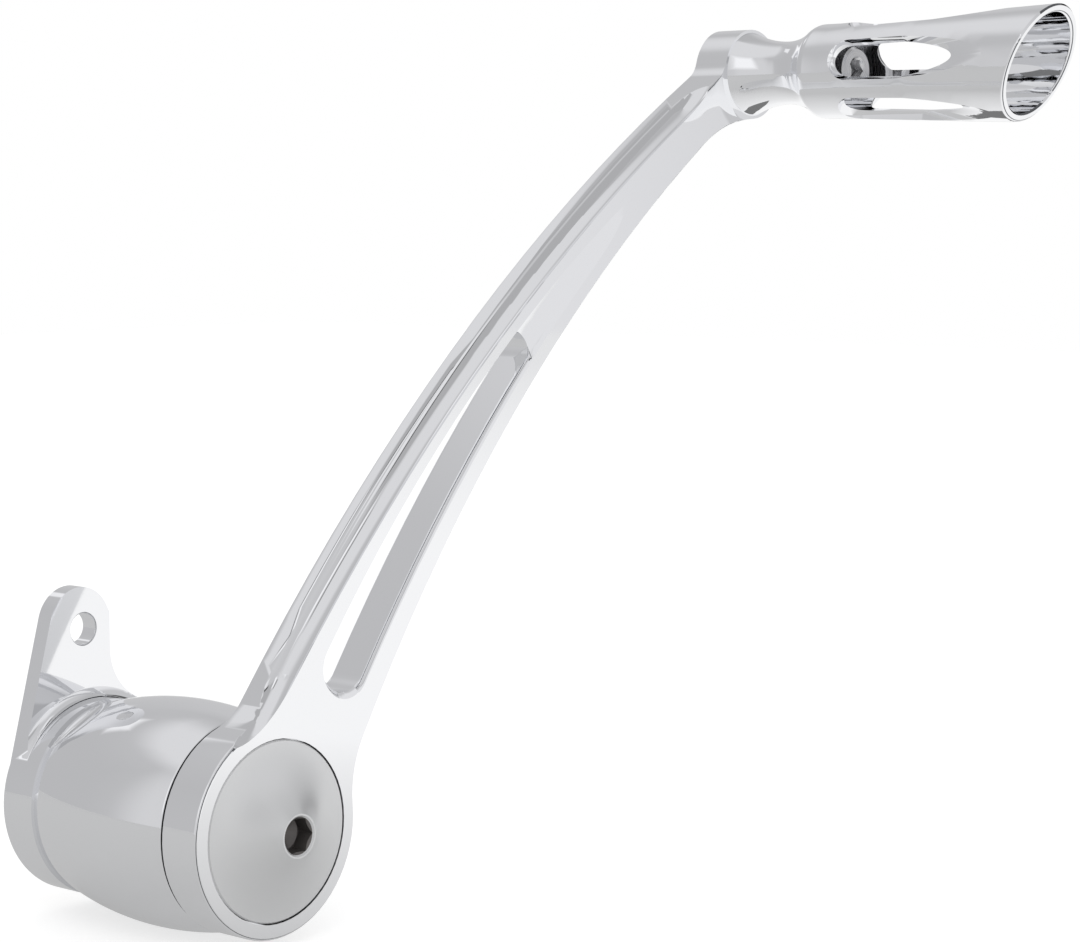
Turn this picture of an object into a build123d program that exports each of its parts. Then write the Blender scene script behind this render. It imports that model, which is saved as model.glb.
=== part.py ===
from build123d import *
from math import cos, radians, sin, sqrt, tan
import os

os.makedirs("parts", exist_ok=True)

# Frame: +X points to the front of the bike, +Z up and -Y out to the rider's foot.
# The pivot axis is the Y axis. Everything is drawn with Y = 0 in the arm's outer face,
# so a depth is a Y value; the export moves the origin to the rear end of the shaft.
# Arm axes: x runs from the pivot axis to the toe peg axis, y square to it, up and back.

# Arm
reach = 264.6               # pivot axis to toe peg axis
rise = 44.72                # degrees of that line above level
arm_thickness = 12.0
low_boss_radius = 26.4
top_boss_radius = 12.5
front_edge = 0.8            # bevels all round
back_edge = 0.5

# The long sides are arcs: centre along, centre across and radius, in arm axes
upper_side = (105.6, -579.0, 607.2)
lower_side = (155.6, -461.5, 469.6)
slot_upper_side = (112.2, -406.9, 430.2)
slot_lower_side = (151.1, -502.0, 514.6)

# Blends where the long sides run into the two bosses
low_boss_upper_blend = 14.0
low_boss_lower_blend = 27.0
top_boss_upper_blend = 7.0
top_boss_lower_blend = 45.0

# Cove along the upper front edge, cut by a round tool that runs outside the side wall
cove_radius = 6.0
cove_outside = 3.6          # tool centre beyond the side wall
cove_depth = 1.8            # tool centre below the outer face
cove_start = 30.0           # along the arm
cove_end = 236.0
cove_low_run_out = (34.0, 50.0, 55.0)       # turn away from the wall: radius, lean out of the face, degrees
cove_top_run_out = (30.0, 15.0, 40.0)

# Slot through the arm, its bevel, and the scoop that carries it on towards the toe
slot_start = 35.0
slot_end = 145.8
slot_start_round = 7.8
slot_end_round = 3.9
slot_bevel = 1.4
slot_back_round = 1.8
scoop_stations = (          # along the arm, depth, tool radius, step in from the slot's lower side
    (118.0, 1.5, 9.0, 1.7),
    (140.0, 2.0, 10.0, 0.1),
    (160.0, 1.7, 13.0, -0.1),
    (180.0, 0.9, 18.0, -0.2),
    (206.0, -0.4, 26.0, 0.0),
)

# Sunk seat for the toe peg, with a dish that rises to the outer face
seat_radius = 13.4
seat_depth = 0.9
dish_radius = 20.5
dish_over = 0.05            # the dish is cut from this far above the face

# Pivot: shaft, bushes, seals and washers
shaft_radius = 8.97
shaft_front = 2.7
shaft_rear = 74.9
shaft_thread_radius = 5.0
shaft_thread_length = 25.0
shaft_edge = 0.6
bush_bore_radius = 9.0
bush_radius = 10.5
bush_length = 20.0
seal_bore_radius = 9.1
seal_radius = 12.0
seal_width = 3.0
washer_bore_radius = 9.2
washer_radius = 13.5
washer_thickness = 1.2
gap = 0.02                  # between parts that are pressed or bolted together
play = 0.1                  # between faces that slide

# Pocket for the cap, and the spigot that centres the hub in the arm
pocket_radius = 22.5
pocket_depth = 4.0
spigot_radius = 14.0

# Screws and dowels that join arm and hub under the cap
joint_circle_radius = 18.2
joint_count = 4
screw_radius = 2.0
screw_head_radius = 3.5
screw_head_height = 4.0
screw_head_depth = 4.2      # top of the head
screw_room = 0.2            # round head and shank in the arm
screw_grip = 12.0           # length of shank under the head
screw_key = 3.0             # across flats
dowel_radius = 2.0
dowel_length = 14.0
dowel_start = 5.0
dowel_angles = (0, 180)

# Hub: bulged barrel, rear plate and ear
barrel_front_radius = 26.3
barrel_rear_radius = 24.15
barrel_bulge = 3.1
barrel_rear = 61.7
plate_radius = 25.0
plate_rear = 73.4
plate_round = 1.4
seam_bevel = 0.8
grease_radius = 11.2
ear_x = -3.4
ear_z = 43.7
ear_radius = 9.7
ear_front = 68.0
ear_foot = (1.2, 2.2)       # centre of the ear's round foot
ear_foot_blend = 15.0
ear_hole_x = -2.3
ear_hole_z = 42.6
ear_hole_radius = 4.0
ear_hole_bevel = 0.4
ear_cove_radius = 27.5      # where the cove behind the barrel meets the ear
ear_cove_sag = 1.6
ear_root = 4.0              # how far the cove reaches into the barrel
ear_edge = 0.6
facet_turn = 118.1          # degrees round from +X to the way the flat faces
facet_front = (28.5, 35.0)  # where the flat starts: distance from the axis, depth
facet_rear_radius = 22.1
facet_crown = 1.15

# Pivot cap
cap_radius = 22.225
cap_crown_radius = 5.4
cap_crown_height = 7.6
cap_flare_sag = 1.65
cap_edge = 0.35
cap_key = 8.0               # across flats
cap_key_depth = 5.0
key_lead = 0.35             # bevel round the corners of a key socket
cap_stud_radius = 4.0
cap_stud_length = 14.0

# Toe peg: a tube flared to a slanted end, on a waisted foot
peg_foot_radius = 11.66
peg_waist_radius = 8.71
peg_waist = 12.3            # out from the outer face
peg_shoulder = 22.9
peg_shoulder_radius = 12.1
peg_body = 25.6
peg_body_radius = 13.0
peg_straight = 30.0
peg_length = 110.0          # before the slanted end is cut
peg_end_radius = 15.85
peg_wall = 2.3
peg_floor = 25.6
peg_cut = 92.84             # where the slanted end crosses the peg's axis
peg_slant = 23.0            # degrees, longer at the top
peg_rim_edge = 0.6

# Slots round the toe peg, cut by a ball-ended tool that runs out towards the end
peg_slot_count = 5
peg_slot_turn = 24.7        # degrees from +X to the first one
peg_tool_radius = 6.0
peg_tool_out = 14.4         # tool centre from the peg's axis
peg_slot_start = 34.0
peg_slot_level_end = 57.0
peg_slot_climb = 14.0       # degrees

# Toe peg screw
peg_screw_radius = 4.0
peg_screw_hole = 4.3
peg_screw_head_radius = 6.5
peg_screw_head_height = 8.0
peg_screw_key = 6.0
peg_screw_depth = 10.0      # into the arm
peg_washer_radius = 8.0
peg_washer_thickness = 1.4


# Sketch plane at a depth; its x axis is turned up from +X, its normal faces the rider's foot
def sheet(depth, turn=0.0):
    along = (cos(radians(turn)), 0, sin(radians(turn)))
    return Plane(origin=(0, depth, 0), x_dir=along, z_dir=(0, -1, 0))


# Solid over a sketch between two depths
def slab(sketch, near, far, turn=0.0):
    return extrude(sheet(far, turn) * sketch, amount=far - near)


# Round bar, or a ring when it has a bore, about an axis along Y
def bar(radius, near, far, x=0.0, z=0.0, bore=0.0):
    disc = Pos(x, z) * Circle(radius)
    if bore:
        disc -= Pos(x, z) * Circle(bore)
    return slab(disc, near, far)


# Solid turned about an axis along Y, from an outline of (radius, depth)
def turned(edges, x=0.0, z=0.0):
    return Pos(x, 0, z) * revolve(make_face(edges), Axis.Y)


def hexagon(across_flats):
    return RegularPolygon(across_flats / 2, 6, major_radius=False)


# Point across the arm on one of its long arcs
def across(arc, along):
    centre_along, centre_across, radius = arc
    return centre_across + sqrt(radius ** 2 - (along - centre_along) ** 2)


def arc_between(arc, start, end):
    points = [(along, across(arc, along)) for along in (start, (start + end) / 2, end)]
    return ThreePointArc(*points)


def offset_arc(arc, distance):
    return (arc[0], arc[1], arc[2] + distance)


# Where the toe peg's axis meets the outer face
peg_x = reach * cos(radians(rise))
peg_z = reach * sin(radians(rise))


# Face between an upper and a lower long arc
def blade(upper, lower, start, end):
    top = arc_between(upper, start, end)
    bottom = arc_between(lower, start, end)
    return make_face([top, Line(top @ 1, bottom @ 1), bottom, Line(bottom @ 0, top @ 0)])


# Outline of the arm: two bosses joined by the blade, with a blend in each corner
def arm_outline():
    top_boss = Pos(reach, 0) * Circle(top_boss_radius)
    outline = Circle(low_boss_radius) + top_boss + blade(upper_side, lower_side, 8, reach - 4)
    low_lower, low_upper = outline.vertices().filter_by_position(Axis.X, 1, reach / 2).sort_by(Axis.Y)
    outline = fillet(low_lower, low_boss_lower_blend)
    low_upper = outline.vertices().filter_by_position(Axis.X, 1, 20).sort_by(Axis.Y)[-1]
    outline = fillet(low_upper, low_boss_upper_blend)
    corners = outline.vertices().filter_by_position(Axis.X, reach - 30, reach).sort_by(Axis.Y)
    outline = fillet(corners[0], top_boss_lower_blend)
    corners = outline.vertices().filter_by_position(Axis.X, reach - 30, reach).sort_by(Axis.Y)
    return fillet(corners[-1], top_boss_upper_blend)


# Arc that leaves a point on its heading and bends away from the arm, leaning out of the face
def run_out(point, heading, radius, lean, degrees):
    outward = Vector(0, 1, 0).rotate(Axis((0, 0, 0), tuple(heading)), lean if heading.X > 0 else -lean)
    aside = outward - heading * outward.dot(heading)
    return Plane(origin=point, x_dir=heading, z_dir=heading.cross(aside)) * JernArc((0, 0), (1, 0), radius, degrees)


# Tool for the cove: a round bar along the upper side, turned away from it at both ends
def cove_tool():
    main = arc_between(offset_arc(upper_side, cove_outside), cove_start, cove_end)
    low = run_out(main @ 0, (main % 0) * -1, *cove_low_run_out)
    top = run_out(main @ 1, main % 1, *cove_top_run_out)
    path = sheet(cove_depth, rise) * Wire([low, main, top])
    return sweep(Plane(origin=path @ 0, z_dir=path % 0) * Circle(cove_radius), path)


# Face of the slot; the bevel is how far its lower side and foot stand in from the outline
def slot_face(bevel):
    face = blade(slot_upper_side, offset_arc(slot_lower_side, bevel), slot_start + bevel, slot_end)
    face = fillet(face.vertices().sort_by(Axis.X)[:2], slot_start_round - bevel / 2)
    return fillet(face.vertices().sort_by(Axis.X)[-2:], slot_end_round)


def slot_tool():
    hole = slot_face(slot_bevel)
    bevel = loft([sheet(0, rise) * slot_face(0), sheet(slot_bevel, rise) * hole], ruled=True)
    return slab(hole, -1, arm_thickness + 1, rise) + bevel


# Tool for the scoop: a horn that leaves the outer face beyond the slot, kept below the slot's upper side
def scoop_tool():
    rings = []
    for along, depth, radius, inset in scoop_stations:
        half_width = sqrt(abs(2 * radius * depth - depth ** 2))
        centre = across(slot_lower_side, along) + inset + half_width
        ring = Plane(origin=(along, centre, radius - depth), x_dir=(0, 1, 0), z_dir=(1, 0, 0)) * Circle(radius)
        rings.append(sheet(0, rise) * ring)
    start = scoop_stations[0][0]
    end = scoop_stations[-1][0]
    limit = make_face([
        arc_between(slot_upper_side, start, end),
        Polyline((end, across(slot_upper_side, end)), (end, -60), (start, -60), (start, across(slot_upper_side, start))),
    ])
    return loft(rings) & slab(limit, -60, arm_thickness, rise)


# Tool for the sunk seat and the dish round it
def dish_tool():
    return turned([
        Polyline((dish_radius, -dish_over), (dish_radius, -1), (0, -1), (0, seat_depth), (seat_radius, seat_depth)),
        TangentArc((dish_radius, -dish_over), (seat_radius, seat_depth), tangent=(-1, 0)),
    ], peg_x, peg_z)


# Holes on the circle of the joint screws
def joint_holes(radius, near, far):
    spots = PolarLocations(joint_circle_radius, joint_count, start_angle=360 / joint_count / 2)
    return slab(Sketch() + (spots * Circle(radius)), near, far, rise)


# Dowels, or the holes for them when a clearance is given
def dowel_shape(clearance=0.0):
    spots = [Rot(0, 0, angle) * Pos(joint_circle_radius, 0) for angle in dowel_angles]
    discs = Sketch() + [spot * Circle(dowel_radius + clearance) for spot in spots]
    near = 0 if clearance else dowel_start
    return slab(discs, near, dowel_start + dowel_length + clearance, rise)


def brake_arm():
    outline = arm_outline()
    arm = slab(outline, 0, arm_thickness, rise)
    arm = chamfer(arm.edges().group_by(Axis.Y)[-1], back_edge)
    arm = chamfer(arm.edges().group_by(Axis.Y)[0], front_edge)
    arm -= dish_tool()
    arm -= cove_tool()
    arm -= slot_tool()
    back = arm.faces().sort_by(Axis.Y)[-1]
    arm = fillet(back.inner_wires()[0].edges(), slot_back_round)
    arm -= scoop_tool()
    arm -= bar(pocket_radius, -1, pocket_depth)
    arm -= bar(spigot_radius, 0, arm_thickness + 1)
    arm -= joint_holes(screw_head_radius + screw_room, 0, screw_head_depth + screw_head_height)
    arm -= joint_holes(screw_radius + screw_room, 0, arm_thickness + 1)
    arm -= dowel_shape(gap)
    arm -= bar(peg_screw_radius + gap, 0, peg_screw_depth, peg_x, peg_z)
    return arm


# Ear: a round head on a round foot, with a straight right side blended into the foot
def ear_outline():
    head = Pos(ear_x, ear_z) * Circle(ear_radius)
    foot = Pos(*ear_foot) * Circle(plate_radius)
    right = ear_x + ear_radius
    ear = make_hull((foot + head).edges()) - Pos(right + 50, 50) * Rectangle(100, 100)
    ear += foot
    corner = ear.vertices().sort_by_distance((right, ear_foot[1] + plate_radius, 0))[0]
    return fillet(corner, ear_foot_blend)


# Turned body of the hub: spigot, bulged barrel and rear plate
def hub_body():
    rear_edge = plate_rear - plate_round
    return turned([
        Polyline((0, arm_thickness), (barrel_front_radius - seam_bevel, arm_thickness),
                 (barrel_front_radius, arm_thickness + seam_bevel)),
        SagittaArc((barrel_front_radius, arm_thickness + seam_bevel), (barrel_rear_radius, barrel_rear), -barrel_bulge),
        Polyline((barrel_rear_radius, barrel_rear), (plate_radius, barrel_rear), (plate_radius, rear_edge)),
        TangentArc((plate_radius, rear_edge), (plate_radius - plate_round, plate_rear), tangent=(0, 1)),
        Polyline((plate_radius - plate_round, plate_rear), (0, plate_rear), (0, arm_thickness)),
    ])


# Cove between barrel and ear, as wide as the ear; its root is buried in the barrel
def ear_cove():
    inner_radius = barrel_rear_radius - ear_root
    ring = turned([
        SagittaArc((barrel_rear_radius, barrel_rear), (ear_cove_radius, ear_front), ear_cove_sag),
        Polyline((ear_cove_radius, ear_front), (inner_radius, ear_front), (inner_radius, barrel_rear - ear_root),
                 (barrel_rear_radius, barrel_rear)),
    ])
    return ring & slab(ear_outline(), barrel_rear - ear_root, ear_front)


# Block above the crowned flat that is milled on the barrel, drawn as (distance from the axis, depth)
def facet_tool():
    across_x = cos(radians(facet_turn))
    across_z = sin(radians(facet_turn))
    front_radius, front_depth = facet_front
    rear = (facet_rear_radius, barrel_rear)
    above = 2 * front_radius
    face = make_face([
        SagittaArc(facet_front, rear, -facet_crown),
        Polyline(rear, (above, barrel_rear), (above, front_depth), facet_front),
    ])
    upright = Plane(origin=(0, 0, 0), x_dir=(across_x, 0, across_z), z_dir=(-across_z, 0, across_x))
    return extrude(upright * face, amount=front_radius, both=True)


# Hole in the ear with a bevel at both ends
def ear_hole():
    mouth = ear_hole_radius + ear_hole_bevel
    return turned([Polyline(
        (0, ear_front), (mouth, ear_front), (ear_hole_radius, ear_front + ear_hole_bevel),
        (ear_hole_radius, plate_rear - ear_hole_bevel), (mouth, plate_rear), (0, plate_rear), (0, ear_front),
    )], ear_hole_x, ear_hole_z)


def hub():
    body = hub_body() - facet_tool()
    ear = slab(ear_outline(), ear_front, plate_rear)
    ear = chamfer(ear.edges().group_by(Axis.Y)[-1], ear_edge)
    body += ear + ear_cove()
    body += bar(spigot_radius - gap, pocket_depth, arm_thickness)
    body -= bar(bush_radius, 0, plate_rear + 1)
    body -= bar(seal_radius, 0, pocket_depth + seal_width)
    body -= bar(seal_radius, plate_rear - seal_width, plate_rear + 1)
    body -= ear_hole()
    body -= joint_holes(screw_radius + gap, 0, screw_head_depth + screw_head_height + screw_grip + 1)
    body -= dowel_shape(gap)
    return body


# Tool for a hexagon socket with bevelled corners at its mouth and a drilled floor
def key_socket(across_flats, mouth, depth):
    flat = across_flats / 2
    corner = flat / cos(radians(30)) + key_lead
    drill = flat * tan(radians(31))
    drilled = turned([Polyline(
        (0, mouth - 1), (corner + 1, mouth - 1), (flat, mouth + corner - flat), (flat, mouth + depth),
        (0, mouth + depth + drill), (0, mouth - 1),
    )])
    return drilled + slab(hexagon(across_flats), mouth - 1, mouth + depth)


def pivot_cap():
    body = turned([
        Polyline((0, shaft_front), (cap_radius - cap_edge, shaft_front), (cap_radius, shaft_front - cap_edge),
                 (cap_radius, cap_edge), (cap_radius - cap_edge, 0)),
        SagittaArc((cap_radius - cap_edge, 0), (cap_crown_radius, -cap_crown_height), -cap_flare_sag),
        Polyline((cap_crown_radius, -cap_crown_height), (0, -cap_crown_height), (0, shaft_front)),
    ])
    body += bar(cap_stud_radius, shaft_front, shaft_front + cap_stud_length)
    return body - key_socket(cap_key, -cap_crown_height, cap_key_depth)


def pivot_shaft():
    shaft = bar(shaft_radius, shaft_front, shaft_rear)
    shaft = chamfer(shaft.edges(), shaft_edge)
    shaft -= bar(cap_stud_radius + gap, 0, shaft_front + cap_stud_length + 2)
    shaft -= bar(shaft_thread_radius, shaft_rear - shaft_thread_length, shaft_rear + 1)
    return shaft


def bush(start):
    return bar(bush_radius - gap, start, start + bush_length, bore=bush_bore_radius)


def seal(start):
    return bar(seal_radius - gap, start, start + seal_width - play, bore=seal_bore_radius)


def thrust_washer(start):
    return bar(washer_radius, start, start + washer_thickness, bore=washer_bore_radius)


# Cap screw about the Y axis, its head outermost; the shank runs inwards
def cap_screw(head_depth, head_radius, head_height, radius, length, key):
    screw = bar(head_radius, head_depth, head_depth + head_height)
    screw = chamfer(screw.edges().group_by(Axis.Y)[0], head_radius * 0.1)
    screw += bar(radius, head_depth + head_height, head_depth + head_height + length)
    return screw - key_socket(key, head_depth, head_height / 2)


def arm_screws():
    screw = cap_screw(screw_head_depth, screw_head_radius, screw_head_height, screw_radius, screw_grip, screw_key)
    spots = [Rot(0, -rise - 360 / joint_count * (k + 0.5), 0) * Pos(joint_circle_radius, 0, 0) for k in range(joint_count)]
    return Compound([spot * screw for spot in spots])


# Turned outside of the toe peg and the hollow inside it
def peg_tube():
    end = (peg_end_radius, -peg_length)
    return turned([
        Polyline((0, seat_depth), (peg_foot_radius, seat_depth)),
        TangentArc((peg_waist_radius, -peg_waist), (peg_foot_radius, seat_depth), tangent=(0, 1)),
        TangentArc((peg_waist_radius, -peg_waist), (peg_shoulder_radius, -peg_shoulder), tangent=(0, -1)),
        TangentArc((peg_body_radius, -peg_body), (peg_shoulder_radius, -peg_shoulder), tangent=(0, 1)),
        Polyline((peg_body_radius, -peg_body), (peg_body_radius, -peg_straight), end, (0, -peg_length), (0, seat_depth)),
    ], peg_x, peg_z)


def peg_hollow():
    return turned([Polyline(
        (0, -peg_floor), (peg_body_radius - peg_wall, -peg_floor), (peg_body_radius - peg_wall, -peg_straight),
        (peg_end_radius - peg_wall, -peg_length), (0, -peg_length), (0, -peg_floor),
    )], peg_x, peg_z)


# Ball-ended tool for one slot: level, then climbing out of the tube
def peg_slot_tool():
    start = -peg_slot_start - peg_tool_radius
    turn_point = (peg_tool_out, -peg_slot_level_end)
    climb = radians(peg_slot_climb)
    exit_point = (peg_tool_out + 50 * sin(climb), -peg_slot_level_end - 50 * cos(climb))
    level = Line((peg_tool_out, start), turn_point)
    climbing = Line(turn_point, exit_point)
    tool = Pos(peg_tool_out, start, 0) * Sphere(peg_tool_radius)
    tool += Pos(*turn_point, 0) * Sphere(peg_tool_radius)
    for run in (level, climbing):
        tool += extrude(Plane(origin=run @ 0, z_dir=run % 0) * Circle(peg_tool_radius), amount=run.length)
    return tool


def toe_peg():
    peg = peg_tube() - peg_hollow()
    facing = (0, -cos(radians(peg_slant)), -sin(radians(peg_slant)))
    slant = Plane(origin=(peg_x, -peg_cut, peg_z), x_dir=(1, 0, 0), z_dir=facing)
    peg -= extrude(slant * Rectangle(80, 80), amount=60)
    rim = peg.faces().sort_by(Axis.Y)[0]
    peg = chamfer(rim.edges(), peg_rim_edge)
    peg -= bar(peg_screw_hole, -peg_floor - 1, seat_depth + 1, peg_x, peg_z)
    tool = peg_slot_tool()
    for k in range(peg_slot_count):
        turn = peg_slot_turn + k * 360 / peg_slot_count
        peg -= Pos(peg_x, 0, peg_z) * Rot(0, -turn, 0) * tool
    return peg


def peg_screw():
    seat = -peg_floor - peg_washer_thickness
    length = peg_screw_depth - 0.5 - seat
    screw = cap_screw(seat - peg_screw_head_height, peg_screw_head_radius, peg_screw_head_height,
                      peg_screw_radius, length, peg_screw_key)
    return Pos(peg_x, 0, peg_z) * screw


def peg_washer():
    return bar(peg_washer_radius, -peg_floor - peg_washer_thickness, -peg_floor, peg_x, peg_z, bore=peg_screw_hole)


pieces = {
    "brake_arm": brake_arm(),
    "hub": hub(),
    "arm_screws": arm_screws(),
    "dowel_pins": dowel_shape(),
    "toe_peg": toe_peg(),
    "peg_screw": peg_screw(),
    "peg_washer": peg_washer(),
    "pivot_cap": pivot_cap(),
    "pivot_shaft": pivot_shaft(),
    "bush_outer": bush(pocket_depth + seal_width + play),
    "bush_inner": bush(plate_rear - seal_width - play - bush_length),
    "seal_outer": seal(pocket_depth + play),
    "seal_inner": seal(plate_rear - seal_width),
    "thrust_washer_outer": thrust_washer(shaft_front),
    "thrust_washer_inner": thrust_washer(plate_rear + play),
}

for node, piece in pieces.items():
    export_step(Pos(0, -shaft_rear, 0) * piece, f"parts/{node}.step")
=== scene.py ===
import bmesh
import bpy
import math
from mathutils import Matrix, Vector


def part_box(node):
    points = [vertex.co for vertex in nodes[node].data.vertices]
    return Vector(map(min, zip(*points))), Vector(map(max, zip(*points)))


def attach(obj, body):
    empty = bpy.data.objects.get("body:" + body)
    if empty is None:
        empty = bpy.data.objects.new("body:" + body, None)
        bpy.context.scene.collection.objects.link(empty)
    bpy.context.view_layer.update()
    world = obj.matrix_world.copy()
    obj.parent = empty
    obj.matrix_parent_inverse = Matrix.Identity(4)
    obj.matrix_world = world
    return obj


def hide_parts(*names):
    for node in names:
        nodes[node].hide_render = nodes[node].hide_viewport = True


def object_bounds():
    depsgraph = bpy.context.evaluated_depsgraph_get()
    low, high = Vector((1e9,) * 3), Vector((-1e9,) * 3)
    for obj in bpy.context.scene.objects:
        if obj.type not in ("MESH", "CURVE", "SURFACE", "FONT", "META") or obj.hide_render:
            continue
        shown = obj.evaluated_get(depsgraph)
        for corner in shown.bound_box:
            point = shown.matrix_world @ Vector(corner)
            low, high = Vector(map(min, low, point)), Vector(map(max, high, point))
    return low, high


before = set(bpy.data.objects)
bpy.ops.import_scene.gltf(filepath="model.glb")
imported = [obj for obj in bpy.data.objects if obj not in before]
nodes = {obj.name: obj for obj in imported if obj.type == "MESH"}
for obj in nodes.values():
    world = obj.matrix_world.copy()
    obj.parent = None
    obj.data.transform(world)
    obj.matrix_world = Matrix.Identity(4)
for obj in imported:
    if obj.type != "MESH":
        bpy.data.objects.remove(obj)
cadLow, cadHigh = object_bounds()


def newMaterial(name):
    material = bpy.data.materials.new(name)
    material.use_nodes = True
    tree = material.node_tree
    shader = tree.nodes["Principled BSDF"]
    return material, tree, shader


def addNode(tree, kind, x, y, **settings):
    node = tree.nodes.new(kind)
    node.location = (x, y)
    for key, value in settings.items():
        setattr(node, key, value)
    return node


# A value for a socket is the output of another node, or else a plain value
def setSocket(tree, socket, value):
    if isinstance(value, bpy.types.NodeSocket):
        tree.links.new(value, socket)
    else:
        socket.default_value = value


def addMath(tree, operation, x, y, *values, kind="ShaderNodeMath"):
    node = addNode(tree, kind, x, y, operation=operation)
    for socket, value in zip(node.inputs, values):
        setSocket(tree, socket, value)
    return node.outputs["Value"]


# Each colour is three numbers or the output of another node
def mixColours(tree, x, y, factor, first, second, label=""):
    node = addNode(tree, "ShaderNodeMix", x, y, data_type="RGBA", label=label)
    tree.links.new(factor, node.inputs["Factor"])
    for letter, colour in (("A", first), ("B", second)):
        if not isinstance(colour, bpy.types.NodeSocket):
            colour = (*colour, 1)
        setSocket(tree, node.inputs[letter], colour)
    return node.outputs["Result"]


def newGroup(name, inputs, outputs):
    group = bpy.data.node_groups.new(name, "ShaderNodeTree")
    for label, value in inputs.items():
        socket = group.interface.new_socket(label, in_out="INPUT", socket_type="NodeSocketFloat")
        socket.default_value = value
    for label in outputs:
        group.interface.new_socket(label, in_out="OUTPUT", socket_type="NodeSocketFloat")
    start = addNode(group, "NodeGroupInput", -1200, 0)
    end = addNode(group, "NodeGroupOutput", 600, 0)
    return group, start, end


def useGroup(tree, group, x, y, **values):
    node = addNode(tree, "ShaderNodeGroup", x, y, node_tree=group)
    for label, value in values.items():
        node.inputs[label].default_value = value
    return node


def finishNode(name, material):
    for slot in nodes[name].material_slots:
        slot.material = material


# Noise between low and high becomes a roughness between the group's Smooth and Dull
def addRoughness(group, start, end, noise, low, high):
    spread = addNode(group, "ShaderNodeMapRange", 300, 200)
    spread.inputs["From Min"].default_value = low
    spread.inputs["From Max"].default_value = high
    link = group.links.new
    link(noise.outputs["Fac"], spread.inputs["Value"])
    link(start.outputs["Smooth"], spread.inputs["To Min"])
    link(start.outputs["Dull"], spread.inputs["To Max"])
    link(spread.outputs["Result"], end.inputs["Roughness"])


# Place along the axis parallel to Y through Centre X and Centre Z, and distance from that axis
def addAxis(group, start, x, y):
    place = addNode(group, "ShaderNodeTexCoord", x, y)
    split = addNode(group, "ShaderNodeSeparateXYZ", x + 180, y)
    flat = addNode(group, "ShaderNodeCombineXYZ", x + 540, y)
    group.links.new(place.outputs["Object"], split.inputs["Vector"])
    for letter, height in (("X", y + 70), ("Z", y - 90)):
        centre = start.outputs["Centre " + letter]
        across = addMath(group, "SUBTRACT", x + 360, height, split.outputs[letter], centre)
        group.links.new(across, flat.inputs[letter])
    radius = addMath(group, "LENGTH", x + 700, y, flat.outputs["Vector"], kind="ShaderNodeVectorMath")
    return split.outputs["Y"], radius


# Slow cloudy change between two roughness values, with a faint ripple in the surface
def makePolishHaze():
    group, start, end = newGroup(
        "polishHaze",
        {"Cloud Scale": 60.0, "Smooth": 0.03, "Dull": 0.08, "Ripple Scale": 90.0},
        ["Roughness", "Height"],
    )
    place = addNode(group, "ShaderNodeTexCoord", -1000, 300)
    cloud = addNode(group, "ShaderNodeTexNoise", -500, 200)
    cloud.inputs["Detail"].default_value = 4.0
    ripple = addNode(group, "ShaderNodeTexNoise", -500, -150)
    ripple.inputs["Detail"].default_value = 1.0
    link = group.links.new
    link(place.outputs["Object"], cloud.inputs["Vector"])
    link(place.outputs["Object"], ripple.inputs["Vector"])
    link(start.outputs["Cloud Scale"], cloud.inputs["Scale"])
    link(start.outputs["Ripple Scale"], ripple.inputs["Scale"])
    addRoughness(group, start, end, cloud, low=0.35, high=0.65)
    link(ripple.outputs["Fac"], end.inputs["Height"])
    return group


# Fine turning marks: rings round the axis, also inside bores and on rims
def makeLatheRings():
    group, start, end = newGroup(
        "latheRings",
        {"Centre X": 0.0, "Centre Z": 0.0, "Rings": 2600.0, "Smooth": 0.25, "Dull": 0.38},
        ["Roughness", "Height"],
    )
    alongShare = 0.6        # rings are this much closer on a flat face than in a bore
    along, radius = addAxis(group, start, -1000, 350)
    rings = addNode(group, "ShaderNodeTexNoise", 100, 300, noise_dimensions="1D")
    rings.inputs["Detail"].default_value = 3.0
    link = group.links.new
    link(addMath(group, "MULTIPLY_ADD", -100, 200, along, alongShare, radius), rings.inputs["W"])
    link(start.outputs["Rings"], rings.inputs["Scale"])
    addRoughness(group, start, end, rings, low=0.3, high=0.7)
    link(rings.outputs["Fac"], end.inputs["Height"])
    return group


# Zone round the axis: near one plane across it, out to a given radius
def makeAxisZone():
    group, start, end = newGroup(
        "axisZone",
        {"Centre X": 0.0, "Centre Z": 0.0, "Plane Y": 0.0, "Half Width": 0.0003, "Radius": 0.027},
        ["Mask"],
    )
    along, radius = addAxis(group, start, -1000, -100)
    offset = addMath(group, "SUBTRACT", -440, 150, along, start.outputs["Plane Y"])
    distance = addMath(group, "ABSOLUTE", -260, 150, offset)
    close = addMath(group, "LESS_THAN", -80, 150, distance, start.outputs["Half Width"])
    inside = addMath(group, "LESS_THAN", -80, -100, radius, start.outputs["Radius"])
    group.links.new(addMath(group, "MULTIPLY", 120, 50, close, inside), end.inputs["Mask"])
    return group


polishHaze = makePolishHaze()
latheRings = makeLatheRings()
axisZone = makeAxisZone()


def addBump(tree, shader, height, strength, distance):
    bump = addNode(tree, "ShaderNodeBump", -220, -300)
    bump.inputs["Strength"].default_value = strength
    bump.inputs["Distance"].default_value = distance
    tree.links.new(height, bump.inputs["Height"])
    tree.links.new(bump.outputs["Normal"], shader.inputs["Normal"])


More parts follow.
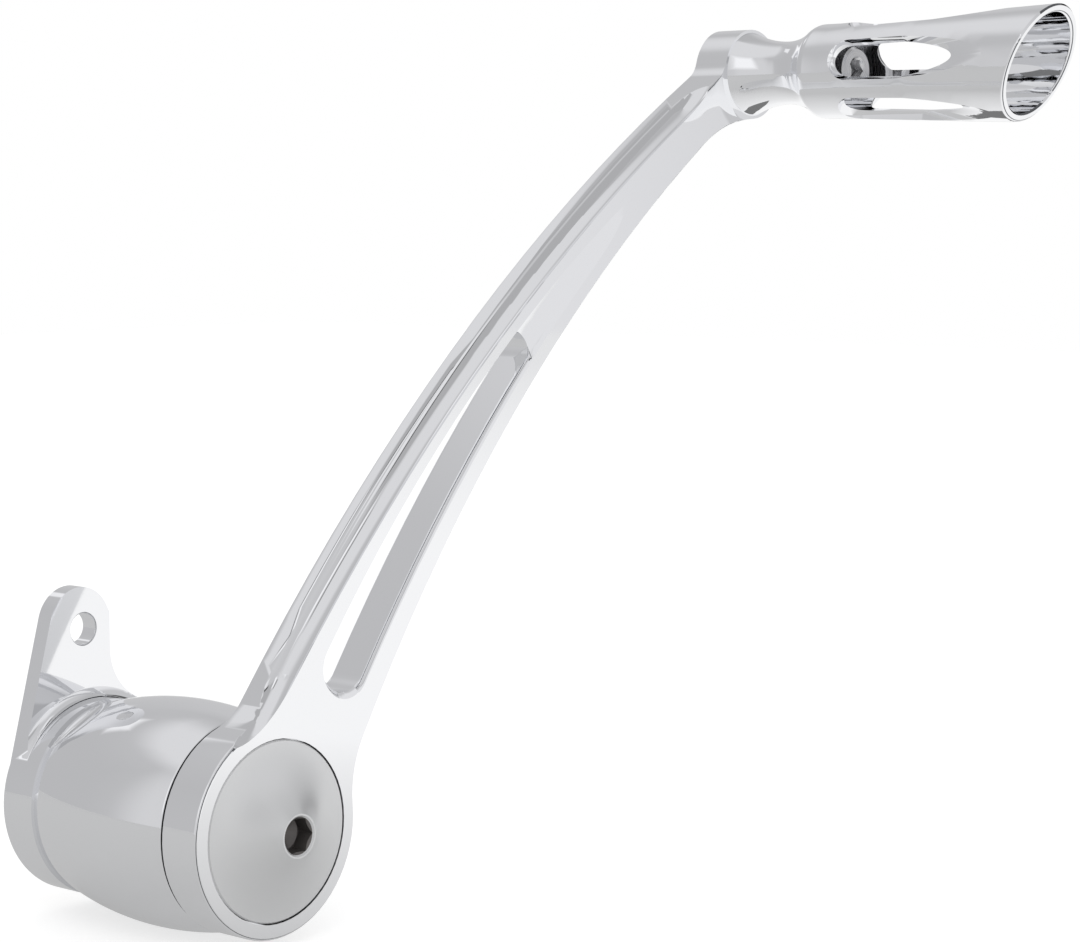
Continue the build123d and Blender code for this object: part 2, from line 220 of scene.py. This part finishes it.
# Mask of a thin painted reflection: a dark line along the marked bevels, where their normal has turned
# part of the way
def addPaintedBevelReflection(tree, line):
    bevel = addNode(tree, "ShaderNodeAttribute", -820, 560, attribute_name="bevel")
    facing = addNode(tree, "ShaderNodeNewGeometry", -1000, 800)
    split = addNode(tree, "ShaderNodeSeparateXYZ", -820, 800)
    tree.links.new(facing.outputs["Normal"], split.inputs["Vector"])
    turned = addMath(tree, "COMPARE", -620, 800, split.outputs["Y"], line["facing"], line["spread"])
    return addMath(tree, "MULTIPLY", -420, 650, turned, bevel.outputs["Fac"])


# Show chrome over polished metal. One zone differs: painted shade at the joint of arm and hub, or
# painted light in the peg's bore
def makeChrome(name, chrome, zone):
    material, tree, shader = newMaterial(name)
    shader.inputs["Metallic"].default_value = 1.0
    haze = useGroup(tree, polishHaze, -820, 0, **chrome["haze"])
    addBump(tree, shader, haze.outputs["Height"], chrome["ripple"], chrome["rippleDepth"])
    mask = useGroup(tree, axisZone, -820, 300, **zone["place"]).outputs["Mask"]
    smooth = haze.outputs["Roughness"]
    roughness = addMath(tree, "MULTIPLY_ADD", -420, 0, mask, zone["extraRoughness"], smooth)
    tree.links.new(roughness, shader.inputs["Roughness"])
    # The zone's colour is painted shade or painted light, and the dark line on the bevels is a painted
    # reflection
    line = chrome["paintedBevelReflection"]
    zoned = mixColours(tree, -420, 300, mask, chrome["colour"], zone["colour"])
    edged = mixColours(tree, -220, 400, addPaintedBevelReflection(tree, line), zoned, line["colour"])
    tree.links.new(edged, shader.inputs["Base Color"])
    return material


# Bare metal turned on a lathe: satin cap, shaft, screws and bronze parts. A socket in it can get
# painted shade, a darker colour
def makeTurned(name, turned, socket=None):
    material, tree, shader = newMaterial(name)
    shader.inputs["Base Color"].default_value = (*turned["colour"], 1)
    shader.inputs["Metallic"].default_value = turned["metallic"]
    rings = useGroup(tree, latheRings, -520, 0, **turned["rings"])
    tree.links.new(rings.outputs["Roughness"], shader.inputs["Roughness"])
    addBump(tree, shader, rings.outputs["Height"], turned["groove"], turned["grooveDepth"])
    # The socket's darker colour is painted shade
    if socket:
        mask = useGroup(tree, axisZone, -520, 300, **socket["place"]).outputs["Mask"]
        zoned = mixColours(tree, -220, 300, mask, turned["colour"], socket["colour"])
        tree.links.new(zoned, shader.inputs["Base Color"])
    return material


def makeSealRubber(rubber):
    material, tree, shader = newMaterial("sealRubber")
    shader.inputs["Base Color"].default_value = (*rubber["colour"], 1)
    shader.inputs["Specular IOR Level"].default_value = rubber["specular"]
    haze = useGroup(tree, polishHaze, -520, 0, **rubber["haze"])
    tree.links.new(haze.outputs["Roughness"], shader.inputs["Roughness"])
    addBump(tree, shader, haze.outputs["Height"], rubber["ripple"], rubber["rippleDepth"])
    return material


# Finishes of the arm, the hub and the toe peg
chromeLook = {
    "colour": (0.90, 0.905, 0.92),
    "haze": {"Cloud Scale": 45.0, "Smooth": 0.02, "Dull": 0.05, "Ripple Scale": 70.0},
    "ripple": 0.015,
    "rippleDepth": 0.0002,
    # Painted reflection: a dark line on the bevels, standing in for a dark part of the surroundings
    # mirrored there
    "paintedBevelReflection": {
        "colour": (0.16, 0.165, 0.175),
        "facing": -0.86,    # Y of the normal in the middle of the line
        "spread": 0.08,     # to both sides of that
    },
}
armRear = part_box("brake_arm")[1].y
# Painted shade: a dark line where the hub meets the arm's rear face, standing in for the shade in the
# gap
paintedJointShade = {
    "place": {"Plane Y": armRear + 0.00015, "Half Width": 0.00035, "Radius": 0.0272},
    "colour": (0.04, 0.04, 0.045),
    "extraRoughness": 0.2,
}
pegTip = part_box("toe_peg")[0].y
washerLow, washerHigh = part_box("peg_washer")
pegCentre = (washerLow + washerHigh) / 2
# Painted light: paler and duller metal inside the peg, from near its tip to near the washer; the paler
# colour lifts the dark in the bore
paintedBoreLight = {
    "place": {
        "Centre X": pegCentre.x,
        "Centre Z": pegCentre.z,
        "Plane Y": (pegTip + washerLow.y) / 2,
        "Half Width": (washerLow.y - pegTip) / 2 - 0.001,
        "Radius": 0.0094,
    },
    "colour": (0.97, 0.965, 0.955),
    "extraRoughness": 0.14,
}
showChrome = makeChrome("showChrome", chromeLook, paintedJointShade)
pegChrome = makeChrome("pegChrome", chromeLook, paintedBoreLight)
finishNode("brake_arm", showChrome)
finishNode("hub", showChrome)
finishNode("toe_peg", pegChrome)

# Finishes of the turned pieces
capLook = {
    "colour": (0.74, 0.745, 0.75),
    "rings": {"Rings": 5200.0, "Smooth": 0.33, "Dull": 0.40},
    "groove": 0.02,
    "grooveDepth": 0.0001,
    "metallic": 0.7,        # blasted, so part of the light is scattered
}
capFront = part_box("pivot_cap")[0].y
# Painted shade: the hex socket is coloured darker than the cap round it, for the shade in its recess
paintedSocketShade = {
    "place": {"Plane Y": capFront + 0.0055, "Half Width": 0.0051, "Radius": 0.0047},
    "colour": (0.16, 0.15, 0.145),
}
steelLook = {
    "colour": (0.40, 0.395, 0.39),
    "rings": {"Rings": 1800.0, "Smooth": 0.14, "Dull": 0.30},
    "groove": 0.2,
    "grooveDepth": 0.0001,
    "metallic": 1.0,
}
pegSteelLook = {
    "colour": (0.60, 0.60, 0.61),
    "rings": {
        "Centre X": pegCentre.x,
        "Centre Z": pegCentre.z,
        "Rings": 1800.0,
        "Smooth": 0.2,
        "Dull": 0.35,
    },
    "groove": 0.2,
    "grooveDepth": 0.0001,
    "metallic": 1.0,
}
bronzeLook = {
    "colour": (0.62, 0.43, 0.22),
    "rings": {"Rings": 2000.0, "Smooth": 0.25, "Dull": 0.42},
    "groove": 0.25,
    "grooveDepth": 0.0001,
    "metallic": 1.0,
}
finishNode("pivot_cap", makeTurned("satinCap", capLook, paintedSocketShade))
turnedSteel = makeTurned("turnedSteel", steelLook)
for name in ("pivot_shaft", "arm_screws", "dowel_pins"):
    finishNode(name, turnedSteel)
pegSteel = makeTurned("pegSteel", pegSteelLook)
for name in ("peg_screw", "peg_washer"):
    finishNode(name, pegSteel)
bearingBronze = makeTurned("bearingBronze", bronzeLook)
for name in ("bush_outer", "bush_inner", "thrust_washer_outer", "thrust_washer_inner"):
    finishNode(name, bearingBronze)

rubberLook = {
    "colour": (0.018, 0.018, 0.02),
    "haze": {"Cloud Scale": 200.0, "Smooth": 0.45, "Dull": 0.62, "Ripple Scale": 900.0},
    "specular": 0.35,
    "ripple": 0.25,
    "rippleDepth": 0.0002,
}
sealRubber = makeSealRubber(rubberLook)
for name in ("seal_outer", "seal_inner"):
    finishNode(name, sealRubber)
print("finishes done")


# Copies of the chromed pieces, with shading that runs on smoothly over the edges, as on buffed metal
buffing = {
    "blendAngle": 50.0,     # turns up to this are buffed over, so narrow bevels look rounded
    "weldDistance": 1e-6,
}

# The cove along the arm's upper front edge: a round groove about an arc
armCove = {
    "rise": 44.72,          # degrees from level to the arm's own length
    "centreAlong": 0.1056,  # middle of the arc, along the arm's length
    "centreAcross": -0.5790,        # and across it
    "arcRadius": 0.6108,
    "depth": 0.0018,        # of the groove's centre line below the outer face
    "grooveRadius": 0.006,
    "slack": 0.00002,       # that the mesh may lie off the groove
    "outerFace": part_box("brake_arm")[0].y,
}
shownPieces = {
    "brake_arm": {"material": showChrome, "bevelWidth": 0.00115, "cove": armCove},
    "hub": {"material": showChrome, "bevelWidth": 0.0006, "cove": None},
    "toe_peg": {"material": pegChrome, "bevelWidth": 0.0009, "cove": None},
}


# Number every surface of the solid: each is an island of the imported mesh
def numberSurfaces(mesh):
    surface = mesh.faces.layers.int.new("surface")
    count = 0
    for first in mesh.faces:
        if first[surface]:
            continue
        count += 1
        first[surface] = count
        waiting = [first]
        while waiting:
            for edge in waiting.pop().edges:
                for face in edge.link_faces:
                    if not face[surface]:
                        face[surface] = count
                        waiting.append(face)
    return surface


def surfaceAreas(mesh, surface):
    area = {}
    for face in mesh.faces:
        area[face[surface]] = area.get(face[surface], 0.0) + face.calc_area()
    return area


# Bevels are the surfaces that are narrower than the given width: twice the area over the rim's length
def findBevels(mesh, surface, area, bevelWidth):
    rim = {}
    for face in mesh.faces:
        for edge in face.edges:
            if any(other[surface] != face[surface] for other in edge.link_faces):
                rim[face[surface]] = rim.get(face[surface], 0.0) + edge.calc_length()
    return {number for number in rim if 2 * area[number] / rim[number] < bevelWidth}


# At each corner the largest surface that runs on smoothly gives the normal
def cornerNormals(mesh, surface, area, blendAngle):
    smoothEnough = math.cos(math.radians(blendAngle))
    normals = []
    for face in mesh.faces:
        for corner in face.loops:
            around = corner.vert.link_loops
            near = [other for other in around if other.face.normal.dot(face.normal) > smoothEnough]
            largest = max((area[other.face[surface]] for other in near), default=0.0)
            total = Vector((0, 0, 0))
            for other in near:
                if area[other.face[surface]] == largest:
                    total += other.face.normal * other.calc_angle()
            normals.append(total.normalized() if total.length > 1e-9 else face.normal.copy())
    return normals


# Middle of the arc that the cove's centre line follows
def coveMiddle(cove):
    turn = math.radians(cove["rise"])
    along = Vector((math.cos(turn), 0, math.sin(turn)))
    across = Vector((-math.sin(turn), 0, math.cos(turn)))
    middle = along * cove["centreAlong"] + across * cove["centreAcross"]
    middle.y = cove["outerFace"] + cove["depth"]
    return middle


# Exact normals in the cove, straight towards its centre line. The cove is every surface that lies
# in the groove from edge to edge
def smoothCove(mesh, surface, normals, cove):
    middle = coveMiddle(cove)
    inward = {}
    for vert in mesh.verts:
        flat = Vector((vert.co.x - middle.x, 0, vert.co.z - middle.z)).normalized()
        inward[vert] = middle + flat * cove["arcRadius"] - vert.co
    outside = set()
    for face in mesh.faces:
        if any(abs(inward[vert].length - cove["grooveRadius"]) > cove["slack"] for vert in face.verts):
            outside.add(face[surface])
    corner = 0
    for face in mesh.faces:
        for vert in face.verts:
            if face[surface] not in outside:
                normals[corner] = inward[vert].normalized()
            corner += 1


def makeShownCopy(name, shown, buffing):
    data = nodes[name].data.copy()
    mesh = bmesh.new()
    mesh.from_mesh(data)
    surface = numberSurfaces(mesh)
    bmesh.ops.remove_doubles(mesh, verts=mesh.verts, dist=buffing["weldDistance"])
    bmesh.ops.dissolve_degenerate(mesh, edges=mesh.edges, dist=buffing["weldDistance"])
    for face in mesh.faces:
        face.smooth = True
    mesh.normal_update()
    area = surfaceAreas(mesh, surface)
    normals = cornerNormals(mesh, surface, area, buffing["blendAngle"])
    if shown["cove"]:
        smoothCove(mesh, surface, normals, shown["cove"])
    bevels = findBevels(mesh, surface, area, shown["bevelWidth"])
    marks = [float(face[surface] in bevels) for face in mesh.faces]
    mesh.to_mesh(data)
    mesh.free()
    data.normals_split_custom_set(normals)
    data.attributes.new("bevel", "FLOAT", "FACE").data.foreach_set("value", marks)
    data.materials.clear()
    data.materials.append(shown["material"])
    piece = bpy.data.objects.new(name + "Shown", data)
    bpy.context.collection.objects.link(piece)
    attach(piece, "pedal")
    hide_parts(name)


for name, shown in shownPieces.items():
    makeShownCopy(name, shown, buffing)
print("chromed pieces done")


# Thread in the rear end of the pivot shaft
shaftThread = {
    "pitch": 0.0015,
    "outer": 0.00495,       # just inside the bore
    "crest": 0.0043,
    "footShare": 0.44,      # half width of the thread at its foot, as a share of the pitch
    "crestShare": 0.08,     # and at its crest
    "inset": 0.0012,        # of the first turn from the shaft's end
    "length": 0.0225,
    "steps": 40,            # per turn
}


def makeShaftThread(thread):
    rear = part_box("pivot_shaft")[1].y - thread["inset"]
    foot = thread["footShare"] * thread["pitch"]
    crest = thread["crestShare"] * thread["pitch"]
    profile = (
        (thread["outer"], foot),
        (thread["crest"], crest),
        (thread["crest"], -crest),
        (thread["outer"], -foot),
    )
    mesh = bmesh.new()
    turns = thread["length"] / thread["pitch"]
    previous = None
    for k in range(int(turns * thread["steps"]) + 1):
        angle = 2 * math.pi * k / thread["steps"]
        depth = rear - thread["pitch"] * k / thread["steps"]
        ring = []
        for radius, shift in profile:
            place = (radius * math.cos(angle), depth + shift, radius * math.sin(angle))
            ring.append(mesh.verts.new(place))
        if previous:
            for a in range(4):
                b = (a + 1) % 4
                mesh.faces.new((previous[a], previous[b], ring[b], ring[a]))
        else:
            mesh.faces.new(ring[::-1])
        previous = ring
    mesh.faces.new(previous)
    bmesh.ops.recalc_face_normals(mesh, faces=mesh.faces)
    data = bpy.data.meshes.new("shaftThread")
    mesh.to_mesh(data)
    mesh.free()
    data.materials.append(turnedSteel)
    piece = bpy.data.objects.new("shaftThread", data)
    bpy.context.collection.objects.link(piece)
    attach(piece, "pivot")


makeShaftThread(shaftThread)
print("shaft thread done")


# Pale floor. The camera sees it white. Polished metal sees it darker, with a gap out on the right
floorLook = {
    "size": 5.0,
    "below": 0.0005,        # under the lowest point of the hub
    "colour": (0.52, 0.52, 0.52),
    "roughness": 0.9,
    "specular": 0.1,
    "glow": 0.62,           # brings the floor up to white for the camera
    "mirrored": (0.22, 0.22, 0.22),         # its colour for polished metal
    "toward": (0.85, -0.5, 0.0),    # from behind the pedal to its front right
    "farGlow": 0.36,        # what polished metal sees behind the pedal
    "nearGlow": 0.79,       # on its front right
    "rightGlow": 0.64,      # and far out there
    "brightest": (0.12, 0.32),      # ends of the near glow, as shares of the way to the floor's edge
    "gapSlope": 0.13,       # half width of the gap, for each metre out
    "gapStart": 0.25,       # metres out along X
}


# Light that polished metal sees coming from the floor
def addMirroredGlow(tree, floor):
    position = addNode(tree, "ShaderNodeNewGeometry", -1200, 100).outputs["Position"]
    toward = floor["toward"]
    forward = addMath(tree, "DOT_PRODUCT", -1000, -100, position, toward, kind="ShaderNodeVectorMath")
    reach = addNode(tree, "ShaderNodeMapRange", -820, -100)
    reach.inputs["From Min"].default_value = 0.0
    reach.inputs["From Max"].default_value = floor["size"] / 2
    tree.links.new(forward, reach.inputs["Value"])
    shades = addNode(tree, "ShaderNodeValToRGB", -640, -100)
    ramp = shades.color_ramp
    ramp.elements[0].color = (floor["farGlow"],) * 3 + (1,)
    ramp.elements[1].color = (floor["rightGlow"],) * 3 + (1,)
    for stop in floor["brightest"]:
        ramp.elements.new(stop).color = (floor["nearGlow"],) * 3 + (1,)
    tree.links.new(reach.outputs["Result"], shades.inputs["Fac"])
    split = addNode(tree, "ShaderNodeSeparateXYZ", -1000, 300)
    tree.links.new(position, split.inputs["Vector"])
    aside = addMath(tree, "DIVIDE", -820, 400, split.outputs["Y"], split.outputs["X"])
    slope = addMath(tree, "ABSOLUTE", -640, 400, aside)
    beside = addMath(tree, "GREATER_THAN", -460, 400, slope, floor["gapSlope"])
    before = addMath(tree, "LESS_THAN", -640, 220, split.outputs["X"], floor["gapStart"])
    clear = addMath(tree, "MAXIMUM", -280, 300, beside, before)
    return addMath(tree, "MULTIPLY", -280, 0, shades.outputs["Color"], clear)


def makeFloor(floor):
    bpy.ops.mesh.primitive_plane_add(size=floor["size"], location=(0, 0, cadLow.z - floor["below"]))
    plane = bpy.context.object
    plane.name = "floor"
    material, tree, shader = newMaterial("paleFloor")
    shader.inputs["Roughness"].default_value = floor["roughness"]
    shader.inputs["Specular IOR Level"].default_value = floor["specular"]
    shader.inputs["Emission Color"].default_value = (1, 1, 1, 1)
    path = addNode(tree, "ShaderNodeLightPath", -1200, -400)
    glossy = path.outputs["Is Glossy Ray"]
    colour = mixColours(tree, -200, 500, glossy, floor["colour"], floor["mirrored"])
    tree.links.new(colour, shader.inputs["Base Color"])
    mirrored = addMath(tree, "MULTIPLY", -400, -200, glossy, addMirroredGlow(tree, floor))
    straight = path.outputs["Is Camera Ray"]
    direct = addMath(tree, "MAXIMUM", -600, -400, straight, path.outputs["Is Transmission Ray"])
    glow = addMath(tree, "MULTIPLY_ADD", -200, -300, direct, floor["glow"], mirrored)
    tree.links.new(glow, shader.inputs["Emission Strength"])
    plane.data.materials.append(material)


# The tent: soft grey cloth with brighter and darker panels. Azimuth runs from +Y towards +X
tentLook = {
    "cloth": 0.60,
    "tint": (0.985, 0.985, 1.0),
    "diffuse": 0.85,        # level for everything that isn't a mirror
    # Azimuth, elevation, half width and half height in degrees, softness of the edge, tone
    "panels": {
        "backCloth": (-10, 5, 42, 40, 0.5, 0.53),
        "leftCloth": (-75, 5, 22, 45, 0.4, 0.70),
        "frontCloth": (-135, 0, 30, 40, 0.4, 0.67),
        "roof": (-45, 72, 72, 24, 0.25, 0.76),
        "rightRoof": (85, 70, 45, 30, 0.4, 0.50),
        "frontRoof": (180, 74, 52, 18, 0.12, 0.46),
        "rightCloth": (150, 10, 24, 24, 0.3, 0.83),
        "leftWindow": (-84, 30, 13, 16, 0.35, 1.0),
        "backWindow": (18, 8, 12, 12, 0.2, 1.05),
        "highWindow": (9, 37, 7, 4, 0.4, 0.92),
        "frontBar": (-172, 49, 12, 4, 0.3, 0.85),
        "frontSeam": (-166, 55, 12, 1.5, 0.3, 0.12),
        "cornerLight": (-128, 58, 5, 5, 0.3, 1.0),
        "cornerSeam": (-114, 61, 4, 4, 0.3, 0.28),
        "frontGap": (178, 20, 4, 6, 0.4, 0.45),
        "rightGap": (90, 8, 7, 32, 0.2, 0.10),
    },
}


# Angle from the middle of a panel, in the panel's own half widths: 1 at its edge
def panelReach(tree, angle, middle, half, x, y):
    offset = addMath(tree, "SUBTRACT", x, y, angle, math.radians(middle))
    turned = addMath(tree, "WRAP", x + 40, y - 40, offset, math.pi, -math.pi)
    size = addMath(tree, "ABSOLUTE", x + 80, y - 80, turned)
    return addMath(tree, "DIVIDE", x + 120, y - 120, size, math.radians(half))


def tinted(tone, tint):
    return tuple(tone * part for part in tint)


# The tent's colour in every direction, with its panels laid over each other in turn
def addPanels(tree, tent, azimuth, elevation):
    shown = tinted(tent["cloth"], tent["tint"])
    for k, (name, panel) in enumerate(tent["panels"].items()):
        turn, lift, width, height, soft, tone = panel
        x = -3500 + 200 * k
        wide = panelReach(tree, azimuth, turn, width, x, -100)
        high = panelReach(tree, elevation, lift, height, x, -350)
        fade = addNode(tree, "ShaderNodeMapRange", x + 50, 150, interpolation_type="SMOOTHSTEP")
        fade.inputs["From Min"].default_value = 1 + soft
        fade.inputs["From Max"].default_value = 1 - soft
        tree.links.new(addMath(tree, "MAXIMUM", x, 0, wide, high), fade.inputs["Value"])
        laidOver = tinted(tone, tent["tint"])
        shown = mixColours(tree, x + 100, 300, fade.outputs["Result"], shown, laidOver, label=name)
    return shown


def makeTent(tent):
    world = bpy.data.worlds.new("softTent")
    bpy.context.scene.world = world
    world.use_nodes = True
    tree = world.node_tree
    place = addNode(tree, "ShaderNodeTexCoord", -4200, 0)
    split = addNode(tree, "ShaderNodeSeparateXYZ", -4020, 0)
    tree.links.new(place.outputs["Generated"], split.inputs["Vector"])
    azimuth = addMath(tree, "ARCTAN2", -3840, 100, split.outputs["X"], split.outputs["Y"])
    elevation = addMath(tree, "ARCSINE", -3840, -100, split.outputs["Z"])
    panels = addPanels(tree, tent, azimuth, elevation)
    path = addNode(tree, "ShaderNodeLightPath", -140, 700)
    straight = path.outputs["Is Camera Ray"]
    seen = addMath(tree, "MAXIMUM", 60, 600, straight, path.outputs["Is Transmission Ray"])
    mirrored = mixColours(tree, 60, 300, path.outputs["Is Glossy Ray"], (tent["diffuse"],) * 3, panels)
    plain = mixColours(tree, 240, 300, seen, mirrored, (1, 1, 1))
    background = tree.nodes["Background"]
    background.location = (420, 300)
    tree.links.new(plain, background.inputs["Color"])
    tree.nodes["World Output"].location = (620, 300)


# One soft lamp for the shadow, which polished metal doesn't mirror
lampLook = {
    "power": 5.0,
    "size": 1.2,
    "place": (-0.9, -0.775, 1.3),
    "aim": (0.1, -0.075, 0.08),
}


def makeLamp(lamp):
    data = bpy.data.lights.new("keyLamp", "AREA")
    data.energy = lamp["power"]
    data.size = lamp["size"]
    light = bpy.data.objects.new("keyLamp", data)
    light.location = lamp["place"]
    light.rotation_euler = (Vector(lamp["aim"]) - light.location).to_track_quat("-Z", "Y").to_euler()
    light.visible_glossy = False
    bpy.context.collection.objects.link(light)


cameraLook = {
    "place": (-0.46512, -0.56490, 0.15055),
    "azimuth": -48.85,      # degrees from +Y, positive towards -X
    "below": 5.41,          # degrees that it looks below level
    "lens": 95.11,
    "sensor": 36.0,
    "nearest": 0.01,
}


def makeCamera(camera):
    data = bpy.data.cameras.new("camera")
    data.lens = camera["lens"]
    data.sensor_width = camera["sensor"]
    data.clip_start = camera["nearest"]
    view = bpy.data.objects.new("camera", data)
    view.location = camera["place"]
    view.rotation_euler = (math.radians(90 - camera["below"]), 0, math.radians(camera["azimuth"]))
    bpy.context.collection.objects.link(view)
    bpy.context.scene.camera = view


makeFloor(floorLook)
makeTent(tentLook)
makeLamp(lampLook)
makeCamera(cameraLook)
bpy.context.scene.view_settings.view_transform = "Standard"
print("floor, light and camera done")
